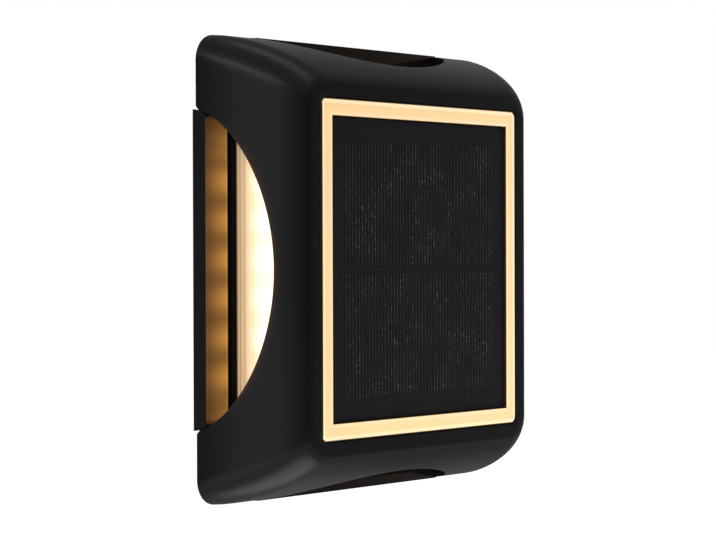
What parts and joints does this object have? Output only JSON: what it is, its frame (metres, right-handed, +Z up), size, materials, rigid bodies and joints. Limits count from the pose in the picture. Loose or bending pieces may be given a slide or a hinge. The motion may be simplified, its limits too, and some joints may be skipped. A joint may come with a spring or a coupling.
{
  "type": "solar wall light",
  "caption": "Square solar wall light: black shell with arched cut-outs on each side over a glowing milky light box, a framed solar panel in front and keyholes behind.",
  "frame": {"origin": "centre of the flat rear face that rests on the wall", "axes": "+Y out of the rear face into the wall, -Y out of the solar panel, +Z up, +X to the right as seen from the front"},
  "size_m": [0.14, 0.0336, 0.14],
  "materials": {
    "shell_black": "fine moulded texture",
    "base_black": "smooth moulded gloss",
    "milky": "milky, lit from inside",
    "panel_cover": "clear laminate",
    "solar_cell": "dark silicon with fine fingers",
    "board_black": "black solder mask",
    "board_white": "white solder mask",
    "board_green": "green solder mask",
    "foam_tape": "closed-cell foam",
    "silicone": "soft silicone",
    "white_plastic": "white ABS",
    "phosphor": "yellow phosphor in a white body",
    "copper": "bare copper",
    "steel": "zinc plated",
    "sleeve": "shrink sleeve",
    "wire": "PVC insulation",
    "part_black": "moulded epoxy"
  },
  "bodies": {
    "housing": {"outer_shell": "shell_black", "diffuser": "milky", "panel_cover": "panel_cover", "solar_cells": "solar_cell", "panel_board": "board_black", "panel_tape": "foam_tape", "base_plate": "base_black", "lens_gasket": "silicone", "led_carrier": "white_plastic", "led_board_left": "board_white", "led_board_right": "board_white", "led_board_top": "board_white", "led_board_bottom": "board_white", "leds_left": "phosphor", "leds_right": "phosphor", "leds_top": "phosphor", "leds_bottom": "phosphor", "led_links": "copper", "led_wires": "wire", "battery_cell": "sleeve", "battery_terminals": "steel", "battery_clamp": "white_plastic", "battery_wires": "wire", "control_board": "board_green", "control_chip": "part_black", "boost_coil": "copper", "buffer_capacitor": "sleeve", "wire_sockets": "white_plastic", "switch_body": "part_black", "button_seal": "silicone", "panel_wires": "wire", "case_screws": "steel", "board_screws": "steel", "clamp_screws": "steel", "carrier_screws": "steel"},
    "button": {"power_button": "base_black", "switch_plunger": "white_plastic"}
  },
  "joints": [
    {"name": "button_press", "type": "slide", "parent": "housing", "child": "button", "axis": [0, -1, 0], "range_m": [0, 0.0012], "stiffness_N_per_m": 400, "springref_m": -0.001}
  ]
}
